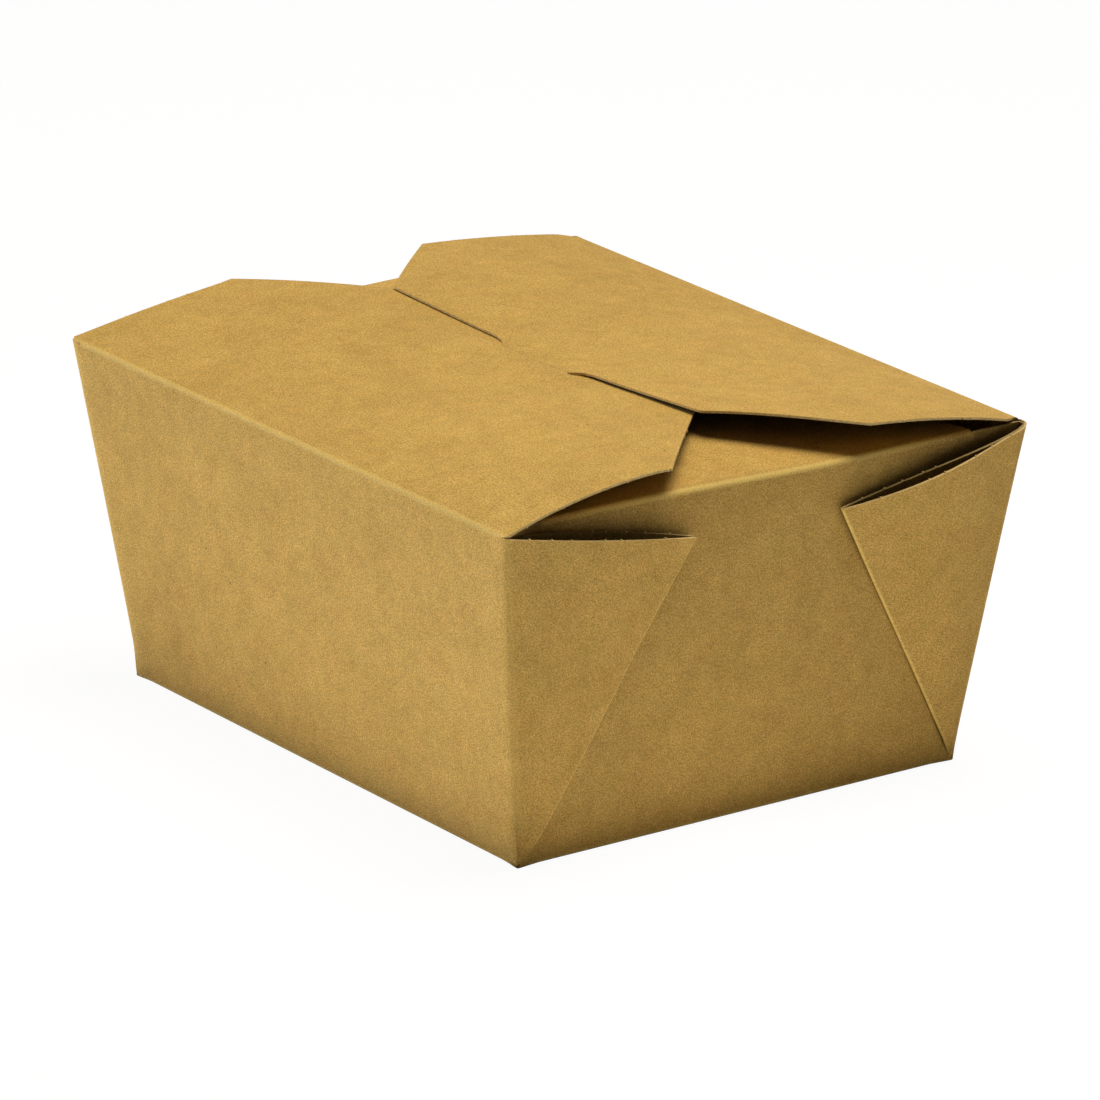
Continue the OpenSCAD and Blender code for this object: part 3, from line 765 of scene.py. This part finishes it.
def kraftFace():
    material, tree = emptyMaterial("uncoatedKraftBoard")
    place = node(tree, "Attribute", {"attribute_name": "blank"}, out="Vector")    # millimetres
    crease = node(tree, "Attribute", {"attribute_name": "crease"}, out="Fac")
    grain, sways = {}, []
    for name, (size, stretch, detail, rough, shift, contrast) in kraft["grains"].items():
        offset = [shift * share for share in kraft["spread"]]
        moved = node(tree, "Mapping", {"Scale": (1, 1 / stretch, 1), "Location": offset}, {"Vector": place})
        grain[name] = node(tree, "TexNoise", {"Scale": 1 / size, "Detail": detail, "Roughness": rough},
                           {"Vector": moved})
        if contrast:
            sways.append(node(tree, "MapRange", {"To Min": 1 - contrast, "To Max": 1 + contrast},
                              {"Value": grain[name]}))

    # the face's colour drifts here to a warmer one, there to a greener one
    low, high = kraft["hueBand"]
    warm, olive = (node(tree, "MapRange", {"From Min": low, "From Max": high, "To Max": kraft["hueShare"]},
                        {"Value": grain[name]}) for name in ("warm", "olive"))
    colour = node(tree, "Mix", {"data_type": "RGBA", 6: toLinear(kraft["face"]),
                                7: toLinear(kraft["warm"])}, {0: warm}, out=2)
    colour = node(tree, "Mix", {"data_type": "RGBA", 7: toLinear(kraft["olive"])}, {0: olive, 6: colour},
                  out=2)

    level = sways[0]    # the grains' levels multiply, and darken blue more than red
    for sway in sways[1:]:
        level = node(tree, "Math", {"operation": "MULTIPLY"}, {0: level, 1: sway})
    shades = [node(tree, "Math", {"operation": "POWER", 1: power}, {0: level}) for power in kraft["deepen"]]
    tint = node(tree, "CombineXYZ", None, dict(enumerate(shades)))
    colour = node(tree, "VectorMath", {"operation": "MULTIPLY"}, {0: colour, 1: tint})

    cells = node(tree, "TexVoronoi", {"Scale": 1 / kraft["speckSpacing"], "Randomness": 1.0},
                 {"Vector": place}, out="Distance")
    low, high = kraft["speckSize"]
    speck = node(tree, "MapRange", {"From Min": low, "From Max": high, "To Min": kraft["speckShare"],
                                    "To Max": 0}, {"Value": cells})
    low, high = kraft["rubBand"]
    rubbed = node(tree, "MapRange", {"From Min": low, "From Max": high, "To Min": kraft["rubLeast"],
                                     "To Max": 1}, {"Value": grain["felt"]})
    # the crease mark: wear, and along the rim, hinge and end creases a painted highlight
    worn = node(tree, "Math", {"operation": "MULTIPLY"}, {0: crease, 1: rubbed})
    for name, share in (("speck", speck), ("crease", worn)):
        colour = node(tree, "Mix", {"data_type": "RGBA", 7: toLinear(kraft[name])}, {0: share, 6: colour},
                      out=2)

    height = node(tree, "Math", {"operation": "ADD"}, {0: grain["fibre"], 1: grain["felt"]})
    bump = node(tree, "Bump", {"Strength": kraft["relief"], "Distance": kraft["reliefDepth"]},
                {"Height": height})
    shader = node(tree, "BsdfPrincipled",
                  {"Roughness": kraft["roughness"], "Specular IOR Level": kraft["specular"]},
                  {"Base Color": shaded(tree, colour), "Normal": bump})
    node(tree, "OutputMaterial", None, {"Surface": shader})
    return material


# The same board where the die cut it: the pale, torn core of the sheet, soft and without any shine.
def kraftCore():
    material, tree = emptyMaterial("dieCutKraftCore")
    where = node(tree, "TexCoord", out="Object")
    size = kraft["torn"] * metresPerMm
    torn = node(tree, "TexNoise", {"Scale": 1 / size, "Detail": kraft["tornDetail"]}, {"Vector": where})
    low, high = kraft["tornBand"]
    share = node(tree, "MapRange", {"From Min": low, "From Max": high}, {"Value": torn})
    colour = node(tree, "Mix", {"data_type": "RGBA", 6: toLinear(kraft["coreDark"]),
                                7: toLinear(kraft["core"])}, {0: share}, out=2)
    bump = node(tree, "Bump", {"Strength": kraft["coreRelief"], "Distance": kraft["reliefDepth"]},
                {"Height": torn})
    shader = node(tree, "BsdfPrincipled",
                  {"Roughness": kraft["coreRoughness"], "Specular IOR Level": kraft["coreSpecular"]},
                  {"Base Color": shaded(tree, colour), "Normal": bump})
    node(tree, "OutputMaterial", None, {"Surface": shader})
    return material


face = kraftFace()
core = kraftCore()
print("kraft face and core made")

patches = longStrip()
turned = [True] * len(patches)
for end in (1, -1):
    for side in (-1, 1):
        corner, stubs = webPatch(end, side)
        patches += [corner] + stubs
        turned += [end * side > 0] * (1 + len(stubs))
    patches += endStrip(end)
    turned += [end > 0] * 4
foldedBox = sheetObject("foldedBox", patches, turned, [face, core])
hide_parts("carton")
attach(foldedBox, "carton")

flapPatches = lockingFlap()
lockFlap = sheetObject("lockingFlap", flapPatches, [True] * len(flapPatches), [face, core])
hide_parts("back_flap")
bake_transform(lockFlap)


# A light table: a soft lamp overhead, a low one far to the left for the long wall, and two parts of the
# table that shine up at the walls. A lamp's level is the light on a surface that faces it, and a lying lamp's
# is its own brightness. The floor is white, and only darkens where the box keeps light off it.
studio = {"bounce": 0.97, "glow": 1.05, "glowShare": 0.9, "world": 0.03, "floorHalf": 3.0, "aimHeight": 0.03}
lamps = {
    "topSoftbox": {"from": (0.10, 0.15, 0.98), "distance": 0.65, "size": 0.38, "level": 0.80,
                   "colour": "#fff6e8"},
    "farLeftLamp": {"from": (-0.90, -0.42, 0.10), "distance": 2.5, "size": 0.35, "level": 0.73,
                    "colour": "#ffffff"},
    "lightTableEnd": {"lying": (0.215, -0.02, 0.001), "size": 0.30, "level": 0.35, "colour": "#ffffff"},
    "lightTableFront": {"lying": (0.02, -0.205, 0.001), "size": 0.30, "level": 0.36, "colour": "#ffffff"},
}


def seenDirectly(tree):    # 1 for camera and glossy rays, which see the white, and 0 for light on the object
    straight = node(tree, "LightPath", out="Is Camera Ray")
    glossy = node(tree, "LightPath", out="Is Glossy Ray")
    return node(tree, "Math", {"operation": "MAXIMUM"}, {0: straight, 1: glossy})


def studioFloor():    # one large square: matt white paint, mostly replaced by plain white where it is seen
    mesh = bpy.data.meshes.new("studioFloor")
    size = studio["floorHalf"]
    corners = [(-size, -size, 0), (size, -size, 0), (size, size, 0), (-size, size, 0)]
    mesh.from_pydata(corners, [], [(0, 1, 2, 3)])
    floor = bpy.data.objects.new("studioFloor", mesh)
    bpy.context.scene.collection.objects.link(floor)
    material, tree = emptyMaterial("paintedWhiteFloor")
    matt = node(tree, "BsdfDiffuse", {"Color": (studio["bounce"],) * 3 + (1,)})
    plain = node(tree, "Emission", {"Color": (1, 1, 1, 1), "Strength": studio["glow"]})
    share = node(tree, "Math", {"operation": "MULTIPLY", 1: studio["glowShare"]}, {0: seenDirectly(tree)})
    both = node(tree, "MixShader", None, {0: share, 1: matt, 2: plain})
    node(tree, "OutputMaterial", None, {"Surface": both})
    mesh.materials.append(material)


def placed(axes, place):    # the matrix of an object whose own axes are the columns of axes
    return Matrix([[*row, p] for row, p in zip(axes, place)] + [[0, 0, 0, 1]])


def lamp(name, setting):    # a disk of P watts at distance r gives the level P over (pi r) squared
    data = bpy.data.lights.new(name, "AREA")
    data.shape = "DISK"
    data.size = setting["size"]
    reach = setting["size"] / 2 if "lying" in setting else setting["distance"]
    data.energy = setting["level"] * (np.pi * reach) ** 2
    data.color = toLinear(setting["colour"])[:3]
    made = bpy.data.objects.new(name, data)
    bpy.context.scene.collection.objects.link(made)
    if "lying" in setting:
        back, right, place = np.array([0, 0, -1.0]), np.array([1.0, 0, 0]), np.array(setting["lying"])
        made.visible_camera = False
    else:
        back = np.array(setting["from"]) / np.linalg.norm(setting["from"])
        right = np.cross([0, 0, 1.0], back)
        right /= np.linalg.norm(right)
        place = np.array([0, 0, studio["aimHeight"]]) + back * setting["distance"]
    made.matrix_world = placed(np.column_stack([right, np.cross(back, right), back]), place)


def paleWorld():    # white to look at, and almost dark as a light
    world = bpy.data.worlds.new("paleStudio")
    bpy.context.scene.world = world
    world.use_nodes = True
    tree = world.node_tree
    tree.nodes.clear()
    room = node(tree, "Background", {"Color": (1, 1, 1, 1), "Strength": studio["world"]})
    white = node(tree, "Background", {"Color": (1, 1, 1, 1), "Strength": 1.0})
    both = node(tree, "MixShader", None, {0: seenDirectly(tree), 1: room, 2: white})
    node(tree, "OutputWorld", None, {"Surface": both})


# The camera is where the photo's own corners put it: 54 degrees round from the front wall, 19 above the
# table, and far away. Its focal length is in pixels of a picture 1100 wide, on a film 36 mm wide.
view = {"azimuth": 54.143, "elevation": 19.02, "roll": 0.432, "distance": 1.5505, "shiftX": 0.00173,
        "shiftY": 0.02855, "focalPixels": 9074.9, "picture": 1100, "film": 36, "clipStart": 0.05}


def photoCamera():
    a, e, r = (np.radians(view[key]) for key in ("azimuth", "elevation", "roll"))
    back = np.array([np.sin(a) * np.cos(e), -np.cos(a) * np.cos(e), np.sin(e)])
    right = np.array([np.cos(a), np.sin(a), 0])
    up = np.cross(back, right)
    axes = np.column_stack([np.cos(r) * right + np.sin(r) * up, -np.sin(r) * right + np.cos(r) * up, back])
    camera = bpy.data.objects.new("camera", bpy.data.cameras.new("camera"))
    bpy.context.scene.collection.objects.link(camera)
    camera.data.lens = view["focalPixels"] / view["picture"] * view["film"]
    camera.data.clip_start = view["clipStart"]
    camera.matrix_world = placed(axes, axes @ np.array([view["shiftX"], view["shiftY"], view["distance"]]))
    bpy.context.scene.camera = camera


studioFloor()
for name, setting in lamps.items():
    lamp(name, setting)
paleWorld()
photoCamera()
bpy.context.scene.view_settings.view_transform = "Standard"
print("floor, lamps, world and camera set")
